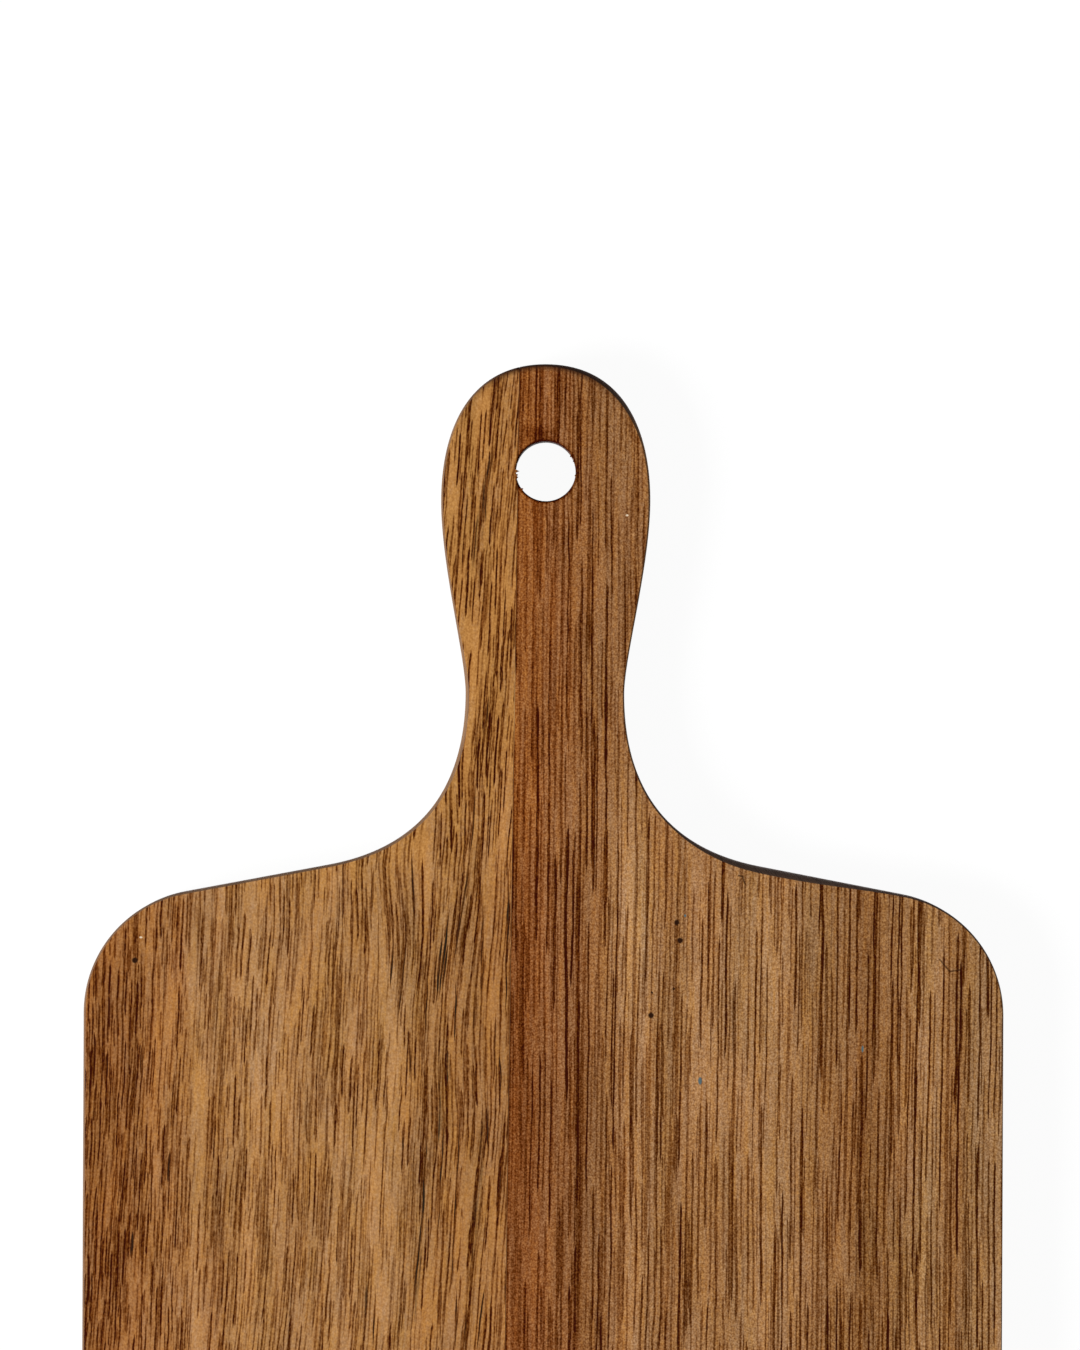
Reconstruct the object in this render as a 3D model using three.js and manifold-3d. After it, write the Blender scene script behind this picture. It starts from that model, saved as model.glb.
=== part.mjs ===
// A paddle-shaped serving board: two wooden staves glued edge to edge along one seam, then cut to the outline,
// drilled for hanging and eased along every edge.
// Sizes are in millimetres, with +Z up. The origin is on the underside, at the middle of the length and the width,
// and +Y points to the tip of the handle.
import * as THREE from 'three';
import { mergeVertices } from 'three/addons/utils/BufferGeometryUtils.js';
import Module from 'manifold-3d';

// Board
const BOARD_LENGTH = 380; // tip of the handle to the far end
const BOARD_WIDTH = 200;
const BOARD_THICKNESS = 15;
const SHOULDER_CORNER_RADIUS = 26.6;
const FAR_CORNER_RADIUS = 26.6;
const EDGE_RADIUS = 1.2; // easing of the outer edges and of the hole's rims

// Handle, with distances measured from its tip
const HEAD_WIDTH = 45.5;
const HEAD_FROM_TIP = 29.7; // where the head is widest
const NECK_WIDTH = 34.5;
const NECK_FROM_TIP = 71.6; // where the neck is narrowest
const FLARE_WIDTH = 94; // where the flare runs out into the straight shoulders
const FLARE_FROM_TIP = 109.2;
const SHOULDER_SLOPE_DEG = 10.8; // fall of the shoulders towards the sides

// Pull of each curve along its end tangent: the larger, the fuller the curve stays there
const TIP_PULL = 17.2;
const HEAD_PULL_TO_TIP = 14.9;
const HEAD_PULL_TO_NECK = 14.1;
const NECK_PULL_TO_HEAD = 8;
const NECK_PULL_TO_FLARE = 15.6;
const FLARE_PULL = 24.6;

// Hanging hole, on the centreline
const HOLE_DIAMETER = 13;
const HOLE_FROM_TIP = 23.3;

// Glued seam, which leans a little across the board
const SEAM_AT_TIP = 5.8; // left of the centreline
const SEAM_LEAN_DEG = 0.6; // further left towards the far end
const GLUE_THICKNESS = 0.15;

// Facets
const OUTLINE_FACET = 3.5; // longest facet on the outline's curves
const HOLE_FACETS = 40;
const EDGE_FACETS = 3; // across each eased edge

const tipY = BOARD_LENGTH / 2;
const farY = -BOARD_LENGTH / 2;
const sideX = BOARD_WIDTH / 2;
const shoulderSlope = THREE.MathUtils.degToRad(SHOULDER_SLOPE_DEG);
const seamLean = THREE.MathUtils.degToRad(SEAM_LEAN_DEG);

const wasm = await Module();
wasm.setup();

// A closed geometry as a solid that can be cut.
function solidFrom(geometry) {
  const bare = geometry.clone();
  bare.deleteAttribute('normal');
  bare.deleteAttribute('uv');
  const merged = mergeVertices(bare);
  return new wasm.Manifold(
    new wasm.Mesh({
      numProp: 3,
      vertProperties: merged.attributes.position.array,
      triVerts: new Uint32Array(merged.index.array),
    }),
  );
}

// A cut solid as a geometry with flat facets.
function geometryFrom(solid) {
  const { vertProperties, triVerts } = solid.getMesh();
  const indexed = new THREE.BufferGeometry();
  indexed.setAttribute('position', new THREE.BufferAttribute(vertProperties, 3));
  indexed.setIndex(new THREE.BufferAttribute(triVerts, 1));
  const flat = indexed.toNonIndexed();
  flat.computeVertexNormals();
  return flat;
}

// The right half of the outline, from the tip of the handle round to the middle of the far end.
function rightOutline() {
  const headX = HEAD_WIDTH / 2;
  const headY = tipY - HEAD_FROM_TIP;
  const neckX = NECK_WIDTH / 2;
  const neckY = tipY - NECK_FROM_TIP;
  const flareX = FLARE_WIDTH / 2;
  const flareY = tipY - FLARE_FROM_TIP;
  const flarePullX = flareX - FLARE_PULL * Math.cos(shoulderSlope);
  const flarePullY = flareY + FLARE_PULL * Math.sin(shoulderSlope);

  const path = new THREE.Path();
  path.moveTo(0, tipY);
  path.bezierCurveTo(TIP_PULL, tipY, headX, headY + HEAD_PULL_TO_TIP, headX, headY);
  path.bezierCurveTo(headX, headY - HEAD_PULL_TO_NECK, neckX, neckY + NECK_PULL_TO_HEAD, neckX, neckY);
  path.bezierCurveTo(neckX, neckY - NECK_PULL_TO_FLARE, flarePullX, flarePullY, flareX, flareY);

  // The shoulder's corner touches both the sloping shoulder and the straight side.
  const cornerX = sideX - SHOULDER_CORNER_RADIUS;
  const shoulderY = flareY - (cornerX - flareX) * Math.tan(shoulderSlope);
  const cornerY = shoulderY - SHOULDER_CORNER_RADIUS / Math.cos(shoulderSlope);
  path.absarc(cornerX, cornerY, SHOULDER_CORNER_RADIUS, Math.PI / 2 - shoulderSlope, 0, true);
  path.absarc(sideX - FAR_CORNER_RADIUS, farY + FAR_CORNER_RADIUS, FAR_CORNER_RADIUS, 0, -Math.PI / 2, true);
  path.lineTo(0, farY);
  return path;
}

// A path's points, with its curves cut into facets and its lines left whole.
function facetPoints(path) {
  const points = path.curves.flatMap((curve) => {
    const count = curve.isLineCurve ? 1 : Math.ceil(curve.getLength() / OUTLINE_FACET);
    return curve.getPoints(count).slice(0, -1);
  });
  return [...points, path.getPoint(1)];
}

// The whole outline: the right half and its mirror image, with the hanging hole.
function boardShape() {
  const right = facetPoints(rightOutline());
  const left = right.slice(1, -1).map((p) => new THREE.Vector2(-p.x, p.y)).reverse();
  const shape = new THREE.Shape([...right, ...left]);
  const hole = new THREE.Path().absarc(0, tipY - HOLE_FROM_TIP, HOLE_DIAMETER / 2, 0, 2 * Math.PI);
  shape.holes.push(new THREE.Path(hole.getSpacedPoints(HOLE_FACETS).slice(0, -1)));
  return shape;
}

// The glued-up board as one solid, before it is told apart at the seam.
function boardSolid() {
  const geometry = new THREE.ExtrudeGeometry(boardShape(), {
    depth: BOARD_THICKNESS - 2 * EDGE_RADIUS,
    bevelThickness: EDGE_RADIUS,
    bevelSize: EDGE_RADIUS,
    bevelOffset: -EDGE_RADIUS,
    bevelSegments: EDGE_FACETS,
  });
  geometry.translate(0, 0, EDGE_RADIUS);
  return solidFrom(geometry);
}

// Everything to the right of the seam's middle plane, moved right by an offset.
function rightOfSeam(offset) {
  const reach = 2 * (BOARD_LENGTH + BOARD_WIDTH + BOARD_THICKNESS);
  const block = new THREE.BoxGeometry(reach, reach, reach);
  block.translate(reach / 2 + offset, 0, 0);
  block.rotateZ(-seamLean);
  block.translate(-SEAM_AT_TIP, tipY, 0);
  return solidFrom(block);
}

const leftStaveLook = { color: 0x93653a, roughness: 0.55, metalness: 0 };
const rightStaveLook = { color: 0x875c36, roughness: 0.55, metalness: 0 };
const driedGlueLook = { color: 0x4a2a16, roughness: 0.4, metalness: 0 };

function addPiece(group, name, solid, look) {
  const mesh = new THREE.Mesh(geometryFrom(solid), new THREE.MeshStandardMaterial(look));
  mesh.name = name;
  group.add(mesh);
}

const board = boardSolid();
const leftGlueFace = rightOfSeam(-GLUE_THICKNESS / 2);
const rightGlueFace = rightOfSeam(GLUE_THICKNESS / 2);
const pastLeftFace = board.intersect(leftGlueFace);

const servingBoard = new THREE.Group();
servingBoard.name = 'serving_board';
addPiece(servingBoard, 'left_stave', board.subtract(leftGlueFace), leftStaveLook);
addPiece(servingBoard, 'right_stave', pastLeftFace.intersect(rightGlueFace), rightStaveLook);

// The hole breaks through the seam, so the glue is two films: a long one below the hole and a short one above it.
const lowestY = (solid) => solid.boundingBox().min[1];
const films = pastLeftFace.subtract(rightGlueFace).decompose();
films.sort((a, b) => lowestY(a) - lowestY(b));
const filmNames = ['glue_line', 'glue_line_above_hole'];
films.forEach((film, i) => addPiece(servingBoard, filmNames[i], film, driedGlueLook));

export default servingBoard;
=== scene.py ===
"""The looks of a paddle-shaped serving board: two oiled staves with eased edges, glued along one seam."""
import math
from typing import NamedTuple

import bmesh
import bpy
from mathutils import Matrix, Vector


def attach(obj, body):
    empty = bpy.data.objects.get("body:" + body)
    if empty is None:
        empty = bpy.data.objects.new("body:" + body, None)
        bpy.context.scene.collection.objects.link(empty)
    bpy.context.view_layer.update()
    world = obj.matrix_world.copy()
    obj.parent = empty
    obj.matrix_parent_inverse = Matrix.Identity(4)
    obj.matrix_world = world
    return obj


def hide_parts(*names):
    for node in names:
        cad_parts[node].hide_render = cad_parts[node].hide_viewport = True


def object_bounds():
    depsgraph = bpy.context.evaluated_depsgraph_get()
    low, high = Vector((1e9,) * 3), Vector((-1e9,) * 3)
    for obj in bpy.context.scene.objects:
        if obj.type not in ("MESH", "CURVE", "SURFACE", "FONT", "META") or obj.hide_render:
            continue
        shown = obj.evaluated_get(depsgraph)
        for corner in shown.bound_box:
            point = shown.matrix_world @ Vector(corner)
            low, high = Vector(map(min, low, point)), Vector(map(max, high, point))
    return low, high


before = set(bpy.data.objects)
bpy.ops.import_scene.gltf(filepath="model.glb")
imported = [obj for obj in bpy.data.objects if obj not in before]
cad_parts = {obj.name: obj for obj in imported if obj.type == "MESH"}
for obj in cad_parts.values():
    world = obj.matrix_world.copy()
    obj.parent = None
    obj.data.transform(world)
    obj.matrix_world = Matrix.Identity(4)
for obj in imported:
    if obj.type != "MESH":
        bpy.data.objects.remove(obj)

cad_low, cad_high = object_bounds()

# Board, in millimetres in the frame's axes: the handle's tip is at the high end of Y, the serving face on top
MM = 0.001
HALF_WIDTH = cad_high.x / MM
TIP_Y = cad_high.y / MM
FAR_Y = cad_low.y / MM
TOP_Z = cad_high.z / MM

# Handle and shoulders, with distances measured from the tip
HEAD_HALF = 22.75
HEAD_FROM_TIP = 29.7
NECK_HALF = 17.25
NECK_FROM_TIP = 71.6
FLARE_HALF = 47.0
FLARE_FROM_TIP = 109.2
SHOULDER_SLOPE = math.radians(10.8)
CORNER_RADIUS = 26.6

# Pull of each curve along its end tangent, towards the tip (up) or away from it (down)
TIP_PULL = 17.2
HEAD_PULL_UP = 14.9
HEAD_PULL_DOWN = 14.1
NECK_PULL_UP = 8.0
NECK_PULL_DOWN = 15.6
FLARE_PULL = 24.6

# Hanging hole and glued seam
HOLE_RADIUS = 6.5
HOLE_FROM_TIP = 23.3
HOLE_CENTRE = Vector((0, TIP_Y - HOLE_FROM_TIP))
SEAM_AT_TIP = -5.8
SEAM_LEAN = math.radians(0.6)
GLUE_THICKNESS = 0.15

# Eased edges: a flat bow on the serving face's side and a plain round below
EASING_WIDTH = 0.45
EASING_START = math.radians(38)
EASING_END = math.radians(80)
EASING_RINGS = (0, 0.06, 0.35, 0.7, 1)  # places of the rings along the bow
RIM_WIDTH = 0.3  # easing of the hole's rims
WALL_START = 0.1  # from the bow down to where the plain wall begins
UNDER_RADIUS = 0.8
UNDER_FACETS = 5

# Stretches of wider or narrower easing, each by its place in X and Y, its reach and the change of width
EASED_STRETCHES = (
    (Vector((13.5, 184.8)), 17.5, 0.56),
    (Vector((51, 79.5)), 27, 0.95),
    (Vector((-17.5, 115)), 22, 0.4),
    (Vector((-26, 95)), 22, 0.25),
    (Vector((19, 128)), 48, -0.14),
    (Vector((100, 10)), 90, -0.28),
)

# Painted shade at the tip, as of a rounded edge turned from the lamp: its reach along the outline, its width
# from the edge and its strength
TIP_SHADE_REACH = 25
TIP_SHADE_WIDTH = 1.2
TIP_SHADE_STRENGTH = 1.1
TIP_SHADE_MOST = 0.9
TIP_SHADE_WALL = 0.5  # at the top of the wall, fading to the underside

# Torn fibres at the hole's upper rim, each by its angle in degrees, half its width and its length
SPLINTERS = (
    (180, 0.45, 1.1),
    (187.5, 0.4, 0.85),
    (192, 0.4, 0.75),
    (217, 0.4, 0.7),
    (31, 0.4, 0.85),
    (20, 0.35, 0.65),
    (-8, 0.45, 0.5),
)
SPLINTER_DEPTH = 0.5
SPLINTER_RING = HOLE_RADIUS + RIM_WIDTH + 0.1  # what lies within it is the hole's rim and wall

# Steps between points along the outline and round the hole
OUTLINE_STEP = 1.0
HOLE_STEP = 0.15
CURVE_LENGTH = 1.1  # about how much longer a curve is than the line between its ends
CUT_TOLERANCE = 1e-7  # metres from the seam's plane that count as on it

# What the mesh carries for the materials
EDGE_VALUES = ("eased", "wall", "tip_shade")


def line_points(a, b):
    """Points along a line, without its last one."""
    steps = max(1, round((b - a).length / OUTLINE_STEP))
    return [a.lerp(b, i / steps) for i in range(steps)]


def curve_points(a, pull_a, pull_b, b):
    """Points along a cubic curve, without its last one."""
    steps = max(1, round(CURVE_LENGTH * (b - a).length / OUTLINE_STEP))
    points = []
    for i in range(steps):
        t = i / steps
        s = 1 - t
        points.append(s ** 3 * a + 3 * s * s * t * pull_a + 3 * s * t * t * pull_b + t ** 3 * b)
    return points


def arc_points(centre, radius, start, stop, step=OUTLINE_STEP):
    """Points along an arc, without its last one. Angles are in radians."""
    steps = max(1, round(abs(stop - start) * radius / step))
    angles = [start + (stop - start) * i / steps for i in range(steps)]
    return [centre + radius * Vector((math.cos(a), math.sin(a))) for a in angles]


def right_outline():
    """The right half of the outline, from the tip round to the middle of the far end."""
    up = Vector((0, 1))
    downhill = Vector((math.cos(SHOULDER_SLOPE), -math.sin(SHOULDER_SLOPE)))
    uphill_side = Vector((math.sin(SHOULDER_SLOPE), math.cos(SHOULDER_SLOPE)))
    tip = Vector((0, TIP_Y))
    head = Vector((HEAD_HALF, TIP_Y - HEAD_FROM_TIP))
    neck = Vector((NECK_HALF, TIP_Y - NECK_FROM_TIP))
    flare = Vector((FLARE_HALF, TIP_Y - FLARE_FROM_TIP))
    corner_x = HALF_WIDTH - CORNER_RADIUS
    shoulder_y = flare.y - (corner_x - flare.x) * math.tan(SHOULDER_SLOPE)
    corner = Vector((corner_x, shoulder_y - CORNER_RADIUS / math.cos(SHOULDER_SLOPE)))
    far_corner = Vector((corner_x, FAR_Y + CORNER_RADIUS))
    return [
        *curve_points(tip, tip + Vector((TIP_PULL, 0)), head + HEAD_PULL_UP * up, head),
        *curve_points(head, head - HEAD_PULL_DOWN * up, neck + NECK_PULL_UP * up, neck),
        *curve_points(neck, neck - NECK_PULL_DOWN * up, flare - FLARE_PULL * downhill, flare),
        *line_points(flare, corner + CORNER_RADIUS * uphill_side),
        *arc_points(corner, CORNER_RADIUS, math.pi / 2 - SHOULDER_SLOPE, 0),
        *line_points(Vector((HALF_WIDTH, corner.y)), Vector((HALF_WIDTH, far_corner.y))),
        *arc_points(far_corner, CORNER_RADIUS, 0, -math.pi / 2),
        *line_points(Vector((corner_x, FAR_Y)), Vector((0, FAR_Y))),
        Vector((0, FAR_Y)),
    ]


def outline_loop():
    """The whole outline, clockwise from the tip as seen from above."""
    right = right_outline()
    left = [Vector((-p.x, p.y)) for p in reversed(right[1:-1])]
    return right + left


def hole_loop():
    """The hanging hole, anticlockwise, so that the material is on the same side as along the outline."""
    return arc_points(HOLE_CENTRE, HOLE_RADIUS, 0, 2 * math.pi, HOLE_STEP)


def outward_normals(loop):
    """The directions out of the material along a loop."""
    normals = []
    for i, _ in enumerate(loop):
        ahead = loop[(i + 1) % len(loop)] - loop[i - 1]
        normals.append(Vector((-ahead.y, ahead.x)).normalized())
    return normals


def nearness(point, centre, reach):
    """1 at a centre, falling softly to 0 at its reach."""
    return max(0, 1 - ((point - centre).length / reach) ** 2) ** 2


def easing_width(point):
    """How wide the easing is at a point of the outline."""
    changes = [amount * nearness(point, centre, reach) for centre, reach, amount in EASED_STRETCHES]
    return EASING_WIDTH + sum(changes)


def tip_shading(point):
    """How strong the painted shade near the tip is at a point of the outline."""
    near_tip = nearness(point, Vector((0, TIP_Y)), TIP_SHADE_REACH)
    return min(TIP_SHADE_MOST, TIP_SHADE_STRENGTH * near_tip)


class Ring(NamedTuple):
    """One ring of an edge: its inset and height, and how far it is eased edge, wall and painted shade near
    the tip.
    """

    inset: float
    height: float
    eased: float = 0
    wall: float = 0
    tip_shade: float = 0


def edge_rings(width, under_radius):
    """Rings from the serving face over the edge to the underside."""
    bow = width / (math.sin(EASING_END) - math.sin(EASING_START))
    # the painted shade near the tip fades in from this ring
    rings = [Ring(width + TIP_SHADE_WIDTH, TOP_Z)]
    for share in EASING_RINGS:
        slope = EASING_START + (EASING_END - EASING_START) * share
        inset = width - bow * (math.sin(slope) - math.sin(EASING_START))
        drop = bow * (math.cos(EASING_START) - math.cos(slope))
        on_edge = 1 if share > 0 else 0
        rings.append(Ring(inset, TOP_Z - drop, on_edge, on_edge, tip_shade=1))
    rings.append(Ring(0, rings[-1].height - WALL_START, wall=1, tip_shade=TIP_SHADE_WALL))
    for i in range(UNDER_FACETS + 1):
        a = math.pi / 2 * i / UNDER_FACETS
        on_wall = 1 if i < UNDER_FACETS else 0
        rings.append(Ring(under_radius * (1 - math.cos(a)), under_radius * (1 - math.sin(a)), wall=on_wall))
    return rings


def add_wall(bm, loop, widths, under_radius, tip_shade_amounts):
    """Rings of quads over an edge. Returns the edges that border the serving face and the underside."""
    eased, wall, tip_shade = (bm.verts.layers.float[name] for name in EDGE_VALUES)
    columns = []
    for i, normal in enumerate(outward_normals(loop)):
        column = []
        for ring in edge_rings(widths[i], under_radius):
            place = loop[i] - normal * ring.inset
            vert = bm.verts.new((place.x * MM, place.y * MM, ring.height * MM))
            vert[eased] = ring.eased
            vert[wall] = ring.wall
            vert[tip_shade] = ring.tip_shade * tip_shade_amounts[i]
            column.append(vert)
        columns.append(column)
    for i, column in enumerate(columns):
        following = columns[(i + 1) % len(columns)]
        for j in range(len(column) - 1):
            face = bm.faces.new((column[j], following[j], following[j + 1], column[j + 1]))
            face.smooth = j > 0  # the first ring lies in the serving face, which is flat
    borders = []
    for j in (0, len(columns[0]) - 1):
        borders.append([bm.edges.get((columns[i - 1][j], columns[i][j])) for i in range(len(columns))])
    return borders


def board_mesh():
    """The whole glued-up board, before it is parted at the seam."""
    bm = bmesh.new()
    for name in EDGE_VALUES:
        bm.verts.layers.float.new(name)
    outline = outline_loop()
    hole = hole_loop()
    widths = [easing_width(p) for p in outline]
    outer_top, outer_under = add_wall(bm, outline, widths, UNDER_RADIUS, [tip_shading(p) for p in outline])
    hole_top, hole_under = add_wall(bm, hole, [RIM_WIDTH] * len(hole), RIM_WIDTH, [0] * len(hole))
    bmesh.ops.triangle_fill(bm, edges=outer_top + hole_top, normal=(0, 0, 1), use_beauty=True)
    bmesh.ops.triangle_fill(bm, edges=outer_under + hole_under, normal=(0, 0, -1), use_beauty=True)
    bmesh.ops.recalc_face_normals(bm, faces=bm.faces)
    return bm


def part_at_seam(bm, offset, keep_right):
    """Cuts the board along a plane beside the seam and closes the cut, keeping one side."""
    across = Vector((math.cos(SEAM_LEAN), -math.sin(SEAM_LEAN), 0))
    point = Vector((SEAM_AT_TIP, TIP_Y, 0)) + across * offset
    cut = bmesh.ops.bisect_plane(
        bm,
        geom=[*bm.verts, *bm.edges, *bm.faces],
        dist=CUT_TOLERANCE,
        plane_co=point * MM,
        plane_no=across,
        clear_inner=keep_right,
        clear_outer=not keep_right,
    )
    edges = [e for e in cut["geom_cut"] if isinstance(e, bmesh.types.BMEdge)]
    bmesh.ops.edgeloop_fill(bm, edges=edges)


def splinter_length(from_centre):
    """How far the torn fibres reach inwards at a place around the hole's centre."""
    angle = math.degrees(math.atan2(from_centre.y, from_centre.x))
    length = 0
    for middle, half_width, reach in SPLINTERS:
        turn = (angle - middle + 180) % 360 - 180
        away = abs(math.radians(turn)) * HOLE_RADIUS
        length = max(length, reach * (1 - away / half_width))
    return length


def tear_rim(bm):
    """Pulls the torn fibres of the hole's upper rim into the hole."""
    for vert in bm.verts:
        from_centre = vert.co.xy / MM - HOLE_CENTRE
        depth = TOP_Z - vert.co.z / MM
        if from_centre.length < SPLINTER_RING and depth < SPLINTER_DEPTH:
            tear = splinter_length(from_centre) * (1 - depth / SPLINTER_DEPTH)
            vert.co.xy -= from_centre.normalized() * tear * MM


def add_object(name, data):
    """A new object in the scene."""
    new_object = bpy.data.objects.new(name, data)
    bpy.context.scene.collection.objects.link(new_object)
    return new_object


def add_stave(name, offset, keep_right):
    """The part of the board on one side of the seam."""
    bm = board_mesh()
    part_at_seam(bm, offset, keep_right)
    tear_rim(bm)
    mesh = bpy.data.meshes.new(name)
    bm.to_mesh(mesh)
    bm.free()
    return add_object(name, mesh)


# Shader fields


def plug(tree, socket, value):
    """Joins a field to a socket, or sets the socket to a plain value."""
    if isinstance(value, Field):
        tree.links.new(value.socket, socket)
    else:
        socket.default_value = value


class Field:
    """Something that varies over a surface: a shader node's output, with arithmetic that adds nodes."""

    def __init__(self, tree, socket):
        self.tree = tree
        self.socket = socket

    def math(self, operation, *others):
        node = self.tree.nodes.new("ShaderNodeMath")
        node.operation = operation
        for socket, value in zip(node.inputs, (self, *others)):
            plug(self.tree, socket, value)
        return Field(self.tree, node.outputs[0])

    def __add__(self, other):
        return self.math("ADD", other)

    def __sub__(self, other):
        return self.math("SUBTRACT", other)

    def __mul__(self, other):
        return self.math("MULTIPLY", other)

    def __truediv__(self, other):
        return self.math("DIVIDE", other)

    def rest(self):
        """What is left of 1."""
        return self * -1 + 1

    def between(self, low, high):
        """From low where this is 0 to high where it is 1."""
        return self * (high - low) + low

    def size(self):
        """The value without its sign."""
        return self.math("ABSOLUTE")

    def most(self, *others):
        """The largest of this and others."""
        result = self
        for other in others:
            result = result.math("MAXIMUM", other)
        return result

    def least(self, other):
        """The smaller of this and another."""
        return self.math("MINIMUM", other)

    def within_one(self):
        """The value kept from 0 to 1."""
        return self.least(1).most(0)

    def step(self, start, end):
        """0 at start and 1 at end, with a soft step between."""
        node = self.tree.nodes.new("ShaderNodeMapRange")
        node.interpolation_type = "SMOOTHSTEP"
        plug(self.tree, node.inputs["Value"], self)
        plug(self.tree, node.inputs["From Min"], start)
        plug(self.tree, node.inputs["From Max"], end)
        return Field(self.tree, node.outputs["Result"])

    def ramp(self, stops):
        """A colour by value, from a list of value and colour."""
        low, high = stops[0][0], stops[-1][0]
        node = self.tree.nodes.new("ShaderNodeValToRGB")
        while len(node.color_ramp.elements) < len(stops):
            node.color_ramp.elements.new(1.0)
        for element, (value, colour) in zip(node.color_ramp.elements, stops):
            element.position = (value - low) / (high - low)
            element.color = colour
        share = (self - low) / (high - low)
        plug(self.tree, node.inputs["Fac"], share)
        return Field(self.tree, node.outputs["Color"])


# The mix node has a set of sockets for each kind of value, and these are the ones for colours
MIX_FIRST = 6
MIX_SECOND = 7
MIX_RESULT = 2


def mix(amount, first, second, blend_type="MIX"):
    """Two colours mixed by an amount."""
    tree = next(value.tree for value in (amount, first, second) if isinstance(value, Field))
    node = tree.nodes.new("ShaderNodeMix")
    node.data_type = "RGBA"
    node.blend_type = blend_type
    plug(tree, node.inputs["Factor"], amount)
    plug(tree, node.inputs[MIX_FIRST], first)
    plug(tree, node.inputs[MIX_SECOND], second)
    return Field(tree, node.outputs[MIX_RESULT])


def blend(amount, first, second):
    """A field mixed with another one, or with a plain number."""
    return first + (first * -1 + second) * amount


def profile(coordinate, stops):
    """A number by place, from a list of place and number."""
    low = min(value for _, value in stops)
    high = max(value for _, value in stops)
    greys = []
    for place, value in stops:
        share = (value - low) / (high - low)
        greys.append((place, (share, share, share, 1)))
    return coordinate.ramp(greys).between(low, high)


def joined(tree, values):
    """Three values as one vector."""
    node = tree.nodes.new("ShaderNodeCombineXYZ")
    for socket, value in zip(node.inputs, values):
        plug(tree, socket, value)
    return Field(tree, node.outputs[0])


class Noise(NamedTuple):
    """Noise with cells of some size across, along and through the board, in millimetres, and its swing."""

    across: float
    along: float
    through: float
    seed: int
    detail: float = 1.0
    swing: float = 1.0


SEED_STEP = 17.3  # how far apart the noises of two seeds are taken
NOISE_MIDDLE = 0.5
NOISE_SPREAD = 0.2  # most of the noise is this near its middle


def noise(place, kind):
    """Noise from 0 to 1 around its middle."""
    tree = place[0].tree
    sizes = (kind.across, kind.along, kind.through)
    shift = kind.seed * SEED_STEP
    vector = joined(tree, [coordinate / size + shift for coordinate, size in zip(place, sizes)])
    node = tree.nodes.new("ShaderNodeTexNoise")
    plug(tree, node.inputs["Vector"], vector)
    node.inputs["Scale"].default_value = 1.0
    node.inputs["Detail"].default_value = kind.detail
    return Field(tree, node.outputs["Fac"])


def swing(place, kind):
    """Noise around 0, mostly within its swing either way."""
    return (noise(place, kind) - NOISE_MIDDLE) * (kind.swing / NOISE_SPREAD)


def random_values(tree, *keys):
    """Three numbers from 0 to 1 that are the same wherever the keys are."""
    node = tree.nodes.new("ShaderNodeTexWhiteNoise")
    plug(tree, node.inputs["Vector"], joined(tree, keys))
    split = tree.nodes.new("ShaderNodeSeparateColor")
    tree.links.new(node.outputs["Color"], split.inputs[0])
    return [Field(tree, output) for output in split.outputs]


def parts_of(tree, vector):
    """The three parts of a vector socket."""
    split = tree.nodes.new("ShaderNodeSeparateXYZ")
    tree.links.new(vector, split.inputs[0])
    return [Field(tree, output) for output in split.outputs]


def board_place(tree):
    """The place on the board, in millimetres."""
    coordinates = tree.nodes.new("ShaderNodeTexCoord")
    return [part * (1 / MM) for part in parts_of(tree, coordinates.outputs["Object"])]


def mesh_value(tree, name):
    """A value that the mesh carries."""
    attribute = tree.nodes.new("ShaderNodeAttribute")
    attribute.attribute_name = name
    return Field(tree, attribute.outputs["Fac"])


def new_material(name):
    material = bpy.data.materials.new(name)
    material.use_nodes = True
    return material, material.node_tree, material.node_tree.nodes["Principled BSDF"]


# Marks in the wood

LEFT_STREAK_BLUR = 0.07
CHARCOAL_BLUR = 0.2
RIGHT_STREAK_BLUR = 0.1
PATCH_BLUR = 1.2
FLECK_BLUR = 0.6
CRACK_BORDER = (0.75, 0.25)  # shares of a crack's width where it begins and is all dark

# Lines in their cells: where and how they differ from each other
LINE_SEED_STEP = 7.37  # lanes between the lines of two seeds
LINE_STAGGER = 9  # rows that a lane is moved along by, at most
STAGGER_KEY = 0.5  # stands where the lines have their seed
FIRST_ROW = 50  # keeps the rows above 0
LINE_PLACES = (0.2, 0.8)  # across its lane
LINE_LENGTHS = (0.6, 1)  # as shares of the cell
LINE_WIDTHS = (0.7, 1.3)  # as shares of the kind's width
LINE_STRENGTHS = (1, 0.35)  # from the first to the last that the share lets in
LAST_LINE = (1.02, 0.98)  # ranks where a line is absent and where it is whole
LEAST_SHARE = 0.02  # keeps ranks from a division by 0


class Lines(NamedTuple):
    """Thin lines along the grain, with at most one in each cell of spacing by length.

    Taper is how fast a line comes to its full width. Darkness is the lightness that the strongest takes away.
    """

    spacing: float
    length: float
    width: float
    taper: float
    blur: float
    darkness: float
    seed: int


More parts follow.
